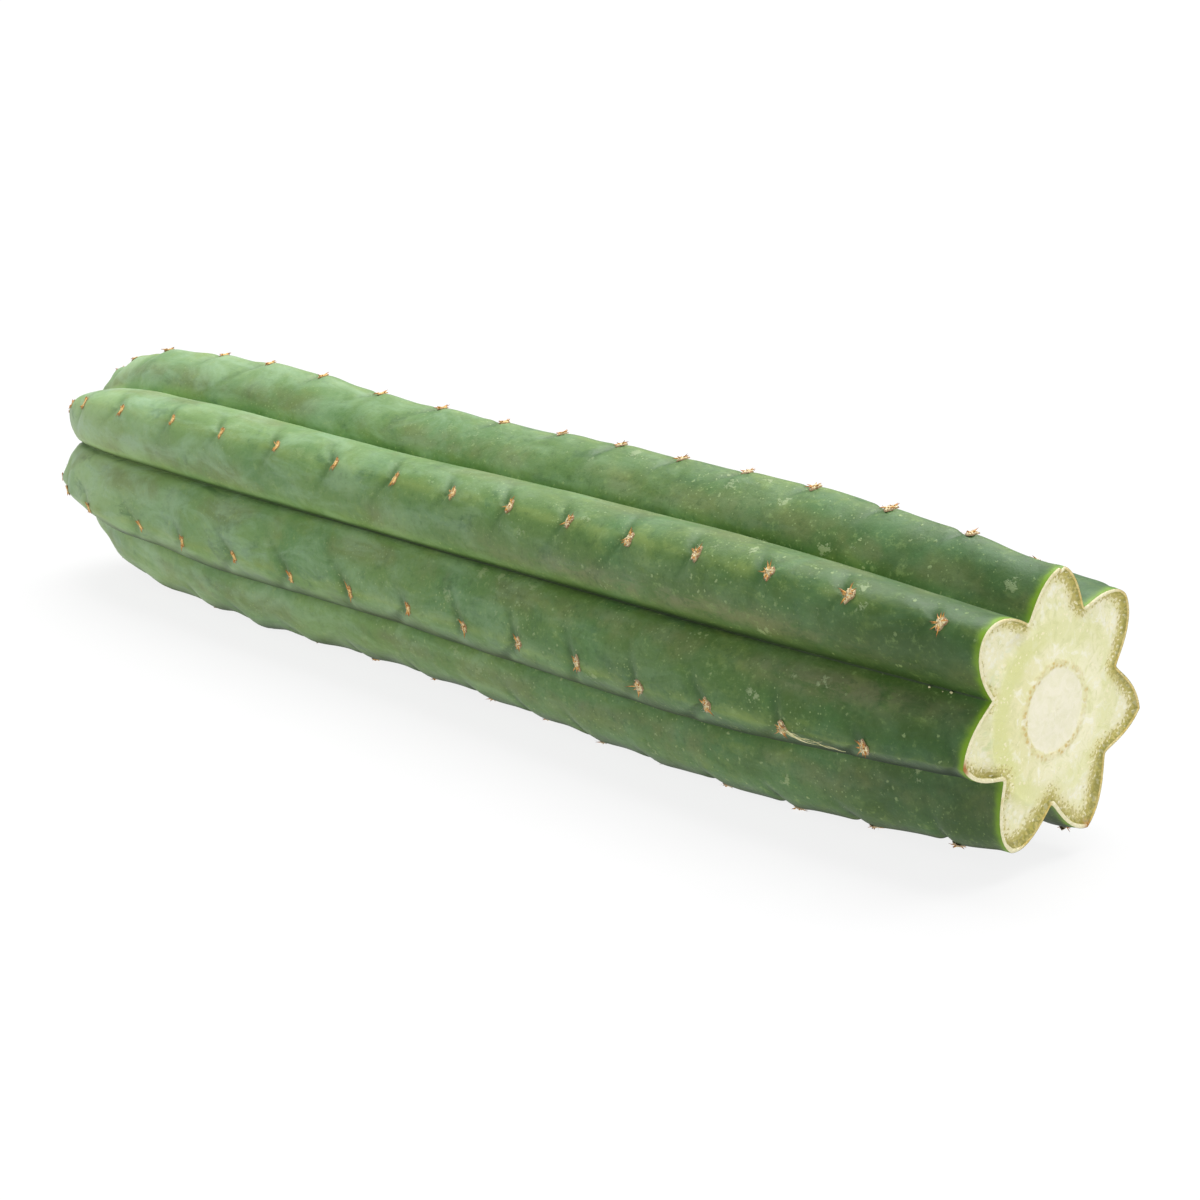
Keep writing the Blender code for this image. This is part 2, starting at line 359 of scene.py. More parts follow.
# %% [markdown]
# ## Building finishes from nodes
#
# A finish is a small tree of nodes that ends in a Principled shader.  Writing each node out takes
# many lines, so `Finish` keeps one tree and has a short method for each kind of node used here:
# noise, spots, a ramp of colours, a blend, arithmetic, and reading a number stored on the mesh.

# %% Material helpers
class Finish:
    def __init__(self, name):
        self.material = bpy.data.materials.new(name)
        self.material.use_nodes = True
        self.tree = self.material.node_tree
        self.shader = self.tree.nodes["Principled BSDF"]
        self.place = self.tree.nodes.new("ShaderNodeTexCoord").outputs["Object"]

    def node(self, kind, inputs=None, **settings):
        """A node of this kind; a socket given as an input is linked, and a number is set."""
        made = self.tree.nodes.new("ShaderNode" + kind)
        for key, value in settings.items():
            setattr(made, key, value)
        for key, value in (inputs or {}).items():
            if isinstance(value, bpy.types.NodeSocket):
                self.tree.links.new(value, made.inputs[key])
            else:
                made.inputs[key].default_value = value
        return made

    def number(self, name):
        return self.node("Attribute", attribute_name=name).outputs["Fac"]

    def stretched(self, scale):
        return self.node("Mapping", {"Vector": self.place, "Scale": scale}).outputs["Vector"]

    def noise(self, per_metre, detail=3.0, rough=0.55, place=None, warp=0.0):
        return self.node("TexNoise", {"Vector": place or self.place, "Scale": per_metre, "Detail": detail,
                                      "Roughness": rough, "Distortion": warp}).outputs["Fac"]

    def cells(self, per_metre, loose=1.0):
        return self.node("TexVoronoi", {"Vector": self.place, "Scale": per_metre, "Randomness": loose})

    def cell_number(self, cells, channel):
        """A random number from 0 to 1 that is the same all over one cell."""
        return self.node("SeparateColor", {"Color": cells.outputs["Color"]}).outputs[channel]

    def math(self, how, a, b=0.0, c=0.0):
        return self.node("Math", {0: a, 1: b, 2: c}, operation=how).outputs[0]

    def times(self, a, b):
        return self.math("MULTIPLY", a, b)

    def plus(self, a, b):
        return self.math("ADD", a, b)

    def between(self, value, start, end, low=0.0, high=1.0):
        """value mapped from start..end to low..high with soft ends; start may lie above end."""
        if start > end:
            start, end, low, high = end, start, high, low
        return self.node("MapRange", {"Value": value, "From Min": start, "From Max": end, "To Min": low,
                                      "To Max": high}, interpolation_type="SMOOTHSTEP").outputs[0]

    def mix(self, share, a, b, how="MIX"):
        """Colour a turning into colour b by a share from 0 to 1."""
        made = self.node("Mix", {0: share}, data_type="RGBA", blend_type=how)
        for socket, value in ((made.inputs[6], a), (made.inputs[7], b)):
            if isinstance(value, bpy.types.NodeSocket):
                self.tree.links.new(value, socket)
            else:
                socket.default_value = (*value, 1.0)
        return made.outputs[2]

    def ramp(self, value, stops):
        """Colours read off a scale: (place from 0 to 1, colour) pairs."""
        made = self.node("ValToRGB", {"Fac": value})
        scale = made.color_ramp
        while len(scale.elements) < len(stops):
            scale.elements.new(0.5)
        for element, (place, colour) in zip(scale.elements, stops):
            element.position = place
            element.color = (*colour, 1.0)
        return made.outputs["Color"]

    def finish(self, colour, roughness, height=None, distance=0.0, strength=1.0, **constants):
        self.tree.links.new(colour, self.shader.inputs["Base Color"])
        if isinstance(roughness, bpy.types.NodeSocket):
            self.tree.links.new(roughness, self.shader.inputs["Roughness"])
        else:
            self.shader.inputs["Roughness"].default_value = roughness
        if height is not None:
            bump = self.node("Bump", {"Height": height, "Distance": distance, "Strength": strength})
            self.tree.links.new(bump.outputs["Normal"], self.shader.inputs["Normal"])
        for key, value in constants.items():
            self.shader.inputs[key.replace("_", " ")].default_value = value
        return self.material


# %% [markdown]
# ## The skin's finish
#
# A column cactus is matt and waxy: a deep green under a thin bloom that turns it greyer and paler
# where the skin is young.  Old skin near the cut is darker, with small corky scars and pale dots.
# The flanks have a brownish, see-through look low in the grooves, and the rib tops are a little
# paler.  A bright yellow green band at the cut is painted light shining through the thin flesh,
# and painted shade darkens the skin that faces down and the groove floors.  Each of these is one
# blend, driven by noise or by a number stored on the mesh.

# %% Skin finish
def skin_finish():
    f = Finish("waxy green skin")
    along, up, crease, rim = (f.number(n) for n in ("along", "up", "crease", "rim"))
    cloudy = f.noise(24, 4, 0.6, warp=0.6)
    blotch = f.noise(95, 5, 0.68, f.stretched((0.6, 1, 1)), warp=0.5)
    mottle = f.noise(330, 4, 0.7)
    grain = f.noise(1000, 3, 0.65)
    colour = f.ramp(f.math("DIVIDE", along, WHOLE_LENGTH), (
        (0.00, (0.047, 0.104, 0.014)), (0.10, (0.054, 0.113, 0.018)), (0.30, (0.087, 0.164, 0.035)),
        (0.60, (0.14, 0.248, 0.068)), (0.78, (0.18, 0.296, 0.102)), (0.89, (0.31, 0.45, 0.20)),
        (1.00, (0.42, 0.56, 0.32))))
    colour = f.mix(f.between(cloudy, 0.42, 0.64, 0, 0.50), colour, (0.07, 0.19, 0.062))
    colour = f.mix(f.between(blotch, 0.52, 0.70, 0, 0.50), colour, (0.175, 0.255, 0.058))
    colour = f.mix(f.between(blotch, 0.46, 0.32, 0, 0.60), colour, (0.042, 0.112, 0.034))
    # Olive, see-through patches half way down the flanks, pale rib tops
    half_way = f.times(f.between(up, 0.04, 0.26), f.between(up, 0.66, 0.36))
    olive = f.times(half_way, f.between(f.noise(46, 4, 0.6), 0.44, 0.62))
    colour = f.mix(f.times(olive, 0.55), colour, (0.165, 0.19, 0.066))
    pale_top = f.times(f.between(up, 0.84, 1.0, 0, 0.40), f.between(blotch, 0.36, 0.60))
    colour = f.mix(pale_top, colour, (0.24, 0.31, 0.08))
    # Tan scuffs where the stem was rubbed
    scratches = f.noise(210, 5, 0.72, f.stretched((0.35, 1, 1)), warp=0.8)
    rubbed = f.times(f.number("scuff"), f.between(scratches, 0.36, 0.60))
    # Waxy bloom, thickest on young skin and rubbed off in streaks
    streaks = f.noise(110, 5, 0.65, f.stretched((0.45, 1, 1)), warp=0.5)
    bloom = f.times(f.between(streaks, 0.40, 0.70, 0.04, 0.60), f.between(along, 0.04, 0.40, 0.20, 0.95))
    colour = f.mix(bloom, colour, (0.325, 0.475, 0.315))
    colour = f.mix(f.times(rubbed, 0.70), colour, (0.215, 0.21, 0.115))
    # Painted shade in the creases and in the hollow just beyond each areole, stronger on older skin
    colour = f.mix(f.times(crease, f.between(along, 0.20, 0.37, 0.64, 0.30)), colour, (0.034, 0.092, 0.02))
    # Fine mottling and grain, darker and lighter by turns
    older = f.between(along, 0.36, 0.02, 0.10, 1.0)
    dark_spots = f.times(f.between(mottle, 0.48, 0.30, 0, 0.44), f.between(along, 0.36, 0.10, 0.15, 1.0))
    colour = f.mix(dark_spots, colour, (0.036, 0.09, 0.02))
    colour = f.mix(f.between(mottle, 0.56, 0.72, 0, 0.42), colour, (0.27, 0.38, 0.14))
    colour = f.mix(f.between(grain, 0.54, 0.76, 0, 0.18), colour, (0.27, 0.36, 0.15))
    colour = f.mix(f.between(grain, 0.46, 0.26, 0, 0.18), colour, (0.036, 0.08, 0.02))
    # Pale dots and corky flecks, more of them on the older skin
    dots = f.cells(340)
    keep = f.between(f.noise(60, 2, 0.5), 0.36, 0.54)
    size = f.between(f.cell_number(dots, 1), 0.3, 1.0, 0.02, 0.17)
    uneven = f.plus(dots.outputs["Distance"], f.between(f.noise(1400, 2, 0.6), 0.35, 0.65, -0.07, 0.07))
    dot = f.times(f.between(f.math("SUBTRACT", uneven, size), 0.05, -0.06), keep)
    dot = f.times(dot, older)
    patches = f.cells(95)
    pick = f.between(f.cell_number(patches, 0), 0.62, 0.68)
    ragged = f.plus(patches.outputs["Distance"], f.between(f.noise(520, 3, 0.7), 0.35, 0.65, -0.06, 0.22))
    fleck = f.times(f.times(f.between(ragged, 0.26, 0.11), pick), older)
    pricks = f.between(f.cells(620).outputs["Distance"], 0.22, 0.08, 0, 0.7)
    pricks = f.times(pricks, f.between(f.noise(45, 3, 0.6), 0.46, 0.60))
    colour = f.mix(pricks, colour, (0.30, 0.39, 0.17))
    colour = f.mix(f.times(dot, 0.70), colour, (0.34, 0.43, 0.20))
    colour = f.mix(f.times(fleck, 0.62), colour, (0.36, 0.43, 0.24))
    # Deeper green near the cut; painted shade on the skin that faces down, first warmer, then dark
    colour = f.mix(f.between(along, 0.075, 0.0, 0, 1.0), colour, (0.66, 0.72, 0.62), how="MULTIPLY")
    colour = f.mix(f.between(along, 0.37, 0.31), colour, (0.92, 0.95, 0.90), how="MULTIPLY")
    shade = f.between(f.number("under"), 0.52, 0.92)
    colour = f.mix(f.between(f.number("under"), 0.05, 0.40), colour, (1.0, 1.0, 0.80), how="MULTIPLY")
    colour = f.mix(shade, colour, (0.14, 0.18, 0.05), how="MULTIPLY")
    # Painted light: the lower flanks next to each groove floor are lifted brighter
    colour = f.mix(f.between(up, 0.28, 0.06), colour, (1.30, 1.28, 1.20), how="MULTIPLY")
    # Painted shade in the groove floors; a band of painted light at the cut, where light shines through the
    # flesh
    groove_floor_shade = f.times(f.between(up, 0.04, 0.0), f.between(along, 0.24, 0.38, 0.92, 0.40))
    colour = f.mix(groove_floor_shade, colour, (0.014, 0.03, 0.008))
    glow = f.plus(rim, f.times(f.between(f.noise(260, 3), 0.3, 0.7, -0.25, 0.25), rim))
    colour = f.mix(f.between(glow, 0.12, 0.95), colour, (0.15, 0.28, 0.008))
    height = f.plus(f.times(grain, 0.08), f.times(mottle, 0.30))
    height = f.plus(height, f.noise(110, 3, 0.5, f.stretched((1, 0.6, 0.6))))
    height = f.plus(height, f.times(f.plus(dot, fleck), 0.25))
    rough = f.between(blotch, 0.3, 0.7, 0.44, 0.58)
    # The painted shade on the skin that faces down also lowers its gloss
    f.tree.links.new(f.between(shade, 0.0, 1.0, 0.38, 0.05), f.shader.inputs["Specular IOR Level"])
    return f.finish(colour, rough, height, 0.0007, 0.60, Sheen_Weight=0.05,
                    Sheen_Roughness=0.4, Sheen_Tint=(0.85, 1.0, 0.90, 1.0))


skin_material = skin_finish()
print(skin_material.name, len(skin_material.node_tree.nodes), "nodes")

# %% [markdown]
# ## The skin piece
#
# The grid is finest on the crests, where the pads sit, and in the groove floors, which must stay
# sharp, and coarser on the plain flanks.  One end stops at the cut; the other closes to a point
# at the growing tip.

# %% Make the skin
FLANK_STEPS = 14
SKIN_ROWS = 500


def rib_counts():
    """Columns round the stem: on each flank u = w - 0.6 sin(2 pi w) / (2 pi), close at both ends."""
    w = np.arange(FLANK_STEPS) / FLANK_STEPS
    u = w - 0.6 * np.sin(2 * np.pi * w) / (2 * np.pi)
    flank = np.concatenate([u / 2, 0.5 + u / 2])
    return (np.arange(RIBS)[:, None] + flank[None, :]).reshape(-1)


around = rib_counts()
rows = np.linspace(0, WHOLE_LENGTH, SKIN_ROWS)
along_grid, turn_grid = np.meshgrid(rows[:-1], around, indexing="ij")
skin = skin_point(along_grid, turn_grid)
growing_point = skin_point(np.array([WHOLE_LENGTH]), np.array([0.0]))
columns = len(around)
rib_grid = turn_grid.astype(int)
up_grid = 1 - np.abs(2 * (turn_grid - rib_grid) - 1)
side_grid = (turn_grid - rib_grid >= 0.5).astype(int)
# Where painted shade goes: each crease, and the hollow just beyond each areole
crease_shade_grid = crease_profile(along_grid, rib_grid, up_grid, side_grid, sharp=1.4)
beyond = along_grid[..., None] - pad_along[rib_grid]
hollow_grid = bell(beyond - 2.6 * MM, 2.6 * MM).sum(-1) * bell((1 - up_grid) * FLANK_WIDTH, 5.0 * MM)
crease_shade_grid = (crease_shade_grid + 0.9 * hollow_grid).clip(0, 1.1)
ahead = np.diff(skin, axis=0, append=skin[-1:])
sideways = np.roll(skin, -1, axis=1) - np.roll(skin, 1, axis=1)
outward = np.cross(ahead, sideways)
outward /= np.linalg.norm(outward, axis=-1, keepdims=True) + 1e-12
# How far the skin faces down, for the painted shade
under_grid = np.clip(-outward[..., 2], 0, 1)
# Two long scuffs, low on the fifth rib and high on the sixth: distance, half length, turn, half width
SCUFFS = ((0.105, 0.07, 4.84, 0.07), (0.042, 0.026, 5.17, 0.10))
scuff_grid = sum(bell(along_grid - d, reach) * bell(turn_grid - t, wide) for d, reach, t, wide in SCUFFS)
last_ring = (SKIN_ROWS - 2) * columns + np.arange(columns)
faces = [grid_faces(SKIN_ROWS - 1, columns), fan_faces(last_ring, (SKIN_ROWS - 1) * columns)]
values = {
    "along": np.append(along_grid, WHOLE_LENGTH),
    "up": np.append(up_grid, 1.0),
    "under": np.append(under_grid, 0.0),
    "crease": np.append(crease_shade_grid, 0.0),
    "scuff": np.append(scuff_grid, 0.0),
    # Nearness to the cut, for the band of painted light there
    "rim": np.append(np.exp(-(along_grid / (2.1 * MM)) ** 1.2), 0.0),
}
points = np.concatenate([skin.reshape(-1, 3), growing_point])
skin_piece = new_piece("skin", points, faces, skin_material, values)
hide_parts("stem")
lowest = [float((skin[:, rib_grid[0] == rib, 2].min() / MM).round(2)) for rib in range(RIBS)]
print("lowest point of each rib, in mm:", lowest)

# %% [markdown]
# ## The cut face
#
# Under the skin a cactus is mostly water store.  A fresh cut shows, from outside in: a thin dark
# green line under the skin, olive flesh that fades to cream, a ring of yellow vascular strands
# like a dotted line, and an almost white pith.  The flesh has dried a little and sunk below the
# tough rim.  On one side the star's points have sunk further than the core, and end at a step.
#
# The face is a grid again: spokes run from the rim to the middle of the pith, and a depth is
# worked out for each point from its distance to the rim and to the pith.

# %% Cut face finish
def flesh_finish():
    f = Finish("cut flesh")
    rim, core, green, stain = (f.number(n) for n in ("rim", "core", "green", "stain"))
    fibre_place = f.node("Attribute", attribute_name="fibre").outputs["Vector"]
    fibres = f.noise(900, 4, 0.7, fibre_place)
    wide_fibres = f.noise(330, 4, 0.65, fibre_place, warp=0.4)
    fine = f.noise(700, 4, 0.7)
    soft = f.noise(85, 4, 0.62, warp=0.5)
    clump = f.noise(240, 4, 0.65, warp=0.8)
    wobble = f.times(f.math("SUBTRACT", fibres, 0.5), 0.0035)
    edge = f.plus(rim, wobble)
    colour = f.mix(f.between(soft, 0.40, 0.62), (0.85, 0.82, 0.56), (0.79, 0.78, 0.46))
    yellower = f.times(f.number("facing"), f.between(core, 0.0165, 0.0090, 0, 0.55))
    colour = f.mix(yellower, colour, (0.74, 0.70, 0.36))
    colour = f.mix(f.between(clump, 0.52, 0.64, 0, 0.70), colour, (0.90, 0.88, 0.73))
    colour = f.mix(f.between(clump, 0.48, 0.34, 0, 0.55), colour, (0.64, 0.64, 0.31))
    wavy = f.plus(core, f.times(f.math("SUBTRACT", soft, 0.5), 0.008))
    band = f.times(f.between(wavy, 0.0060, 0.0100), f.between(wavy, 0.0162, 0.0130))
    band = f.times(band, f.math("MULTIPLY_ADD", f.number("facing"), 0.50, 0.35))
    colour = f.mix(band, colour, (0.69, 0.70, 0.30))
    grains = f.times(f.between(f.cells(480).outputs["Distance"], 0.45, 0.25), f.between(core, 0.014, 0.0165))
    colour = f.mix(f.times(grains, 0.45), colour, (0.93, 0.92, 0.80))
    colour = f.mix(f.between(wide_fibres, 0.56, 0.74, 0, 0.35), colour, (0.66, 0.68, 0.33))
    # Olive under the skin, in fibres that run inwards, then a thin dark speckled line
    colour = f.mix(f.between(edge, 0.0062, 0.0012, 0, 0.85), colour, (0.67, 0.59, 0.22))
    colour = f.mix(f.times(f.between(edge, 0.0044, 0.0006), f.between(fibres, 0.42, 0.58, 0, 0.85)),
                   colour, (0.36, 0.35, 0.05))
    colour = f.mix(f.times(f.between(rim, 0.0085, 0.002), f.between(fine, 0.54, 0.66, 0, 0.65)),
                   colour, (0.93, 0.89, 0.68))
    # Single cells show as grains: olive ones crowd towards the skin, pale ones lie between them
    specks = f.cells(1500)
    chance = f.cell_number(specks, 0)
    crowd = f.between(edge, 0.0060, 0.0002, 0.0, 0.88)
    dark_grain = f.between(f.math("SUBTRACT", crowd, chance), 0.0, 0.08, 0, 0.62)
    colour = f.mix(dark_grain, colour, (0.41, 0.35, 0.075))
    light_grain = f.between(f.math("SUBTRACT", f.plus(chance, -0.86), f.times(edge, 8.0)), 0.0, 0.03, 0, 0.75)
    colour = f.mix(light_grain, colour, (0.88, 0.83, 0.56))
    line = f.times(f.between(edge, 0.0019, 0.0011), f.between(chance, 0.15, 0.45))
    colour = f.mix(f.times(line, 0.65), colour, (0.21, 0.20, 0.035))
    colour = f.mix(f.times(green, f.between(clump, 0.50, 0.66, 0.0, 0.60)), colour, (0.50, 0.60, 0.18))
    # Vascular ring and pith: core is the distance outside the pith's edge
    ragged = f.plus(core, f.times(f.math("SUBTRACT", clump, 0.5), 0.0032))
    ring = f.times(f.between(ragged, -0.0002, 0.0004), f.between(ragged, 0.0026, 0.0013))
    strands = f.between(f.cells(640, loose=0.9).outputs["Distance"], 0.55, 0.28)
    ring_shade = f.times(ring, f.math("MULTIPLY_ADD", strands, 0.62, 0.24))
    patchy = f.between(f.noise(130, 3, 0.6), 0.38, 0.58, 0.35, 1.0)
    colour = f.mix(f.times(ring_shade, patchy), colour, (0.60, 0.44, 0.14))
    pith = f.between(ragged, 0.0003, -0.0006)
    pith_colour = f.mix(f.between(clump, 0.36, 0.66), (0.86, 0.82, 0.64), (0.80, 0.77, 0.55))
    colour = f.mix(pith, colour, pith_colour)
    colour = f.mix(f.times(stain, f.between(fine, 0.3, 0.6, 0.5, 1.0)), colour, (0.42, 0.17, 0.03))
    height = f.plus(f.times(fine, 0.5), f.times(fibres, f.between(core, 0.0, 0.012, 0.0, 0.7)))
    height = f.plus(height, f.times(clump, 0.8))
    height = f.plus(height, f.times(ring_shade, 0.5))
    rough = f.between(fine, 0.3, 0.7, 0.40, 0.60)
    return f.finish(colour, rough, height, 0.0007, 0.6, Specular_IOR_Level=0.4)


def rim_finish():
    """Cream, with an ochre line where the bead meets the skin and olive where it meets the flesh."""
    f = Finish("rim of the cut")
    dry, across, stain = f.number("dry"), f.number("across"), f.number("stain")
    fine = f.noise(1100, 4, 0.7)
    colour = f.mix(f.between(fine, 0.3, 0.7), (0.85, 0.79, 0.56), (0.70, 0.66, 0.38))
    tan = f.mix(f.between(fine, 0.35, 0.65), (0.72, 0.56, 0.19), (0.47, 0.36, 0.08))
    colour = f.mix(f.plus(dry, f.between(f.noise(260, 3), 0.4, 0.7, -0.3, 0.3)), colour, tan)
    at_skin = f.between(f.plus(across, f.times(fine, 0.2)), 0.28, 0.12, 0, 0.75)
    at_flesh = f.between(f.plus(across, f.times(fine, 0.4)), 0.98, 1.16, 0, 0.60)
    colour = f.mix(at_skin, colour, (0.42, 0.40, 0.06))
    colour = f.mix(at_flesh, colour, (0.38, 0.35, 0.07))
    colour = f.mix(stain, colour, (0.38, 0.15, 0.028))
    return f.finish(colour, f.between(fine, 0.3, 0.7, 0.45, 0.65), fine, 0.0004, 0.6)


flesh_material, rim_material = flesh_finish(), rim_finish()

# %% Make the cut face
SINK = 1.0 * MM                # how far the flesh lies below the rim
STEP_RADIUS = 27.5 * MM        # the star's points begin this far from the middle
PITH_RADIUS = 11.6 * MM
PITH_OFFSET = np.array([1.2, -2.0]) * MM
FACE_RINGS = 110


def face_depth(rim, core, bearing):
    """Depth below the rim: a smooth dip at the lip, plus a step down to the star's points that is
    deepest on the -Y side, less a bell-shaped ridge of vascular strands, a low dome on the pith
    and random bumps.  rim is the distance in from the edge, core that outside the pith."""
    facing = smoothstep(-np.cos(bearing), 0.0, 0.75)
    dip = SINK * smoothstep(rim, 0.1 * MM, 1.8 * MM)
    place = np.stack([0 * core, core * np.cos(bearing), core * np.sin(bearing)], -1)
    uneven = bumps(place, 0.006, 41) + 0.5 * bumps(place, 0.0026, 42)
    radial = core + PITH_RADIUS + 1.3 * MM * uneven
    step = smoothstep(radial, STEP_RADIUS - 1.2 * MM, STEP_RADIUS + 0.9 * MM)
    lip = 0.45 * MM * facing * bell(radial - STEP_RADIUS + 1.6 * MM, 1.1 * MM)
    sunk = (0.30 + 0.95 * facing) * MM * step - lip
    ridge = 0.40 * MM * bell(core - 1.2 * MM, 1.0 * MM) * (0.75 + 0.25 * np.cos(41 * bearing))
    dome = 0.5 * MM * smoothstep(-core, 0, 9 * MM)
    rough = 0.22 * MM * uneven * smoothstep(rim, 0, 1.5 * MM)
    return dip + sunk * smoothstep(rim, 0.2 * MM, 2.0 * MM) - ridge - dome - rough


edge = skin_point(np.zeros(columns), around)
middle = AXIS_AT_CUT + np.array([0, *PITH_OFFSET])
spoke = edge - middle
reach = np.linalg.norm(spoke, axis=1)
ray = spoke / reach[:, None]
share = np.linspace(0, 1, FACE_RINGS + 1)[:-1]                # from the rim to the middle
length = reach[None, :] * (1 - share[:, None])
length = length - 0.06 * MM * (1 - share[:, None])            # just inside the skin
core = length - PITH_RADIUS
bearing = np.broadcast_to(np.arctan2(ray[:, 2], ray[:, 1])[None, :], core.shape)
flat = (middle + ray[None] * length[..., None])[..., 1:]


def distance_to_outline(points, outline):
    """Distance from each point to the nearest side of a closed outline: the point is dropped onto
    each side, and the foot is kept between the side's two ends."""
    side = np.roll(outline, -1, axis=0) - outline
    from_start = points[..., None, :] - outline
    foot = np.clip((from_start * side).sum(-1) / (side * side).sum(-1), 0, 1)
    return np.linalg.norm(from_start - foot[..., None] * side, axis=-1).min(-1)


rim_distance = distance_to_outline(flat, edge[:, 1:])
depth = face_depth(rim_distance, core, bearing)
face = middle + ray[None] * length[..., None] - depth[..., None] * np.array([1.0, 0, 0])
centre = middle - np.array([face_depth(np.array(0.02), np.array(-PITH_RADIUS), np.array(0.0)), 0, 0])
# Green streaks follow the step, and rusty spots mark an areole cut through and a bruise
green_side = smoothstep(-np.cos(bearing - 0.15), 0.25, 0.9)
green = green_side * bell(core + PITH_RADIUS - STEP_RADIUS, 2.2 * MM)


def stain_at(points):
    """Rusty spots at the crests of the first and sixth ribs, each a bell of the distance to it."""
    spots = skin_point(np.zeros(2), np.array([0.5, 5.5]))
    away = np.linalg.norm(points[..., None, :] - spots, axis=-1)
    return (np.array([1.0, 1.5]) * bell(away, 1.7 * MM)).max(-1).clip(0, 1)


fibre = np.stack([0.03 * np.cos(bearing), 0.03 * np.sin(bearing), 0.18 * core], -1)
# The olive band under the skin is widest at the bottom of the star
flat_place = np.stack([0 * core, flat[..., 0], flat[..., 1]], -1)
band_width = 0.85 + 0.40 * smoothstep(-np.sin(bearing), 0.2, 0.95) + 0.18 * bumps(flat_place, 0.009, 43)
middle_index = FACE_RINGS * columns
last_ring = middle_index - columns + np.arange(columns)
faces = [grid_faces(FACE_RINGS, columns)[:, ::-1], fan_faces(last_ring, middle_index, flip=True)]
values = {
    "rim": np.append(rim_distance / band_width, 0.02),
    "core": np.append(core, -PITH_RADIUS),
    "green": np.append(green, 0.0),
    "facing": np.append(smoothstep(-np.cos(bearing), -0.2, 0.8), 0.0),
    "stain": np.append(stain_at(face), 0.0),
    "fibre": np.concatenate([fibre.reshape(-1, 3), [[0, 0, -0.18 * PITH_RADIUS]]]),
}
new_piece("cut_face", np.concatenate([face.reshape(-1, 3), [centre]]), faces, flesh_material, values)

# %% [markdown]
# The rim is the cut edge of the tough outer layers.  It stands a little proud and has dried to a
# cream line, wider on the side that faces -Y, and to a thin tan line on the other side.  It is a
# bead carried round the outline: for each point of the outline, a small arc from the skin over to
# the flesh.

# %% Make the rim
BEAD_STEPS = 9
tangent = unit(np.roll(edge, -1, 0) - np.roll(edge, 1, 0))
inwards = np.cross(tangent, [1.0, 0, 0])
inwards *= np.sign((inwards * -ray).sum(1))[:, None]
dry = smoothstep(-inwards[:, 1], -0.10, 0.45)
ragged = bumps(np.stack([0 * around, *(edge[:, 1:].T)], -1), 0.0022, 31)
bead_width = ((1.25 + 0.2 * ragged) * (1 - dry) + 0.65 * dry) * MM
bead_height = (0.50 * (1 - dry) + 0.28 * dry + 0.12 * ragged) * MM
arc = np.linspace(-0.15, 1.15, BEAD_STEPS) * np.pi
across = (1 - np.cos(arc)) / 2
bead = (edge[None] + (across[:, None] * bead_width)[..., None] * inwards[None]
        + (np.sin(arc)[:, None] * bead_height - 0.20 * MM)[..., None] * np.array([1.0, 0, 0]))
values = {
    "dry": np.broadcast_to(dry, (BEAD_STEPS, columns)),
    "stain": stain_at(bead),
    "across": np.broadcast_to(np.linspace(0, 1, BEAD_STEPS)[:, None], (BEAD_STEPS, columns)),
}
new_piece("cut_rim", bead.reshape(-1, 3), grid_faces(BEAD_STEPS, columns)[:, ::-1], rim_material, values)

# %% [markdown]
# ## Areole pads
#
# Near the cut a pad is a round lump of whitish felt, 3 to 4 mm across, freckled with the dark
# stubs of old spines.  Near the tip it is still a narrow golden slit that lies across the rib.
# One lumpy dome grid, stretched to each pad's own size and laid on the skin there, makes them
# all.  Each pad gets the skin's own directions: out of the skin, towards the tip, and across.

# %% Directions at each areole
def skin_axes(along, turn):
    """Place, outward normal, direction towards the tip, and direction across, at skin points.

    Each direction is the difference of two places a little apart, and the normal is their cross
    product, turned to point away from the axis."""
    reach, part = 1.2 * MM, 0.03
    here = skin_point(along, turn)
    forward = unit(skin_point(along + reach, turn) - skin_point(along - reach, turn))
    sideways = skin_point(along, turn + part) - skin_point(along, turn - part)
    out = unit(np.cross(sideways, forward))
    inside = AXIS_AT_CUT + np.array([-1.0, 0, -AXIS_SLOPE]) * np.minimum(along, TIP_START)[:, None]
    out *= np.sign((out * (here - inside)).sum(-1, keepdims=True))
    return here, out, forward, np.cross(out, forward)


rng = np.random.default_rng(7)
rib_of_pad = np.repeat(np.arange(RIBS), PADS_PER_RIB)
along_of_pad = pad_along.reshape(-1)
keep_pad = along_of_pad > 1.2 * MM
rib_of_pad, along_of_pad = rib_of_pad[keep_pad], along_of_pad[keep_pad]
pad_count = len(along_of_pad)
LAST_RIB = RIBS - 1            # its pads sit a little off the crest, and its spines are short
pad_turn = rib_of_pad + 0.5 + rng.normal(0, 0.012, pad_count) + np.where(rib_of_pad == LAST_RIB, 0.05, 0)
pad_place, pad_out, pad_forward, pad_across = skin_axes(along_of_pad, pad_turn)
age = 1 - smoothstep(along_of_pad, 0.08, 0.30)     # 1 on the oldest skin, 0 on the youngest
print(pad_count, "areoles")

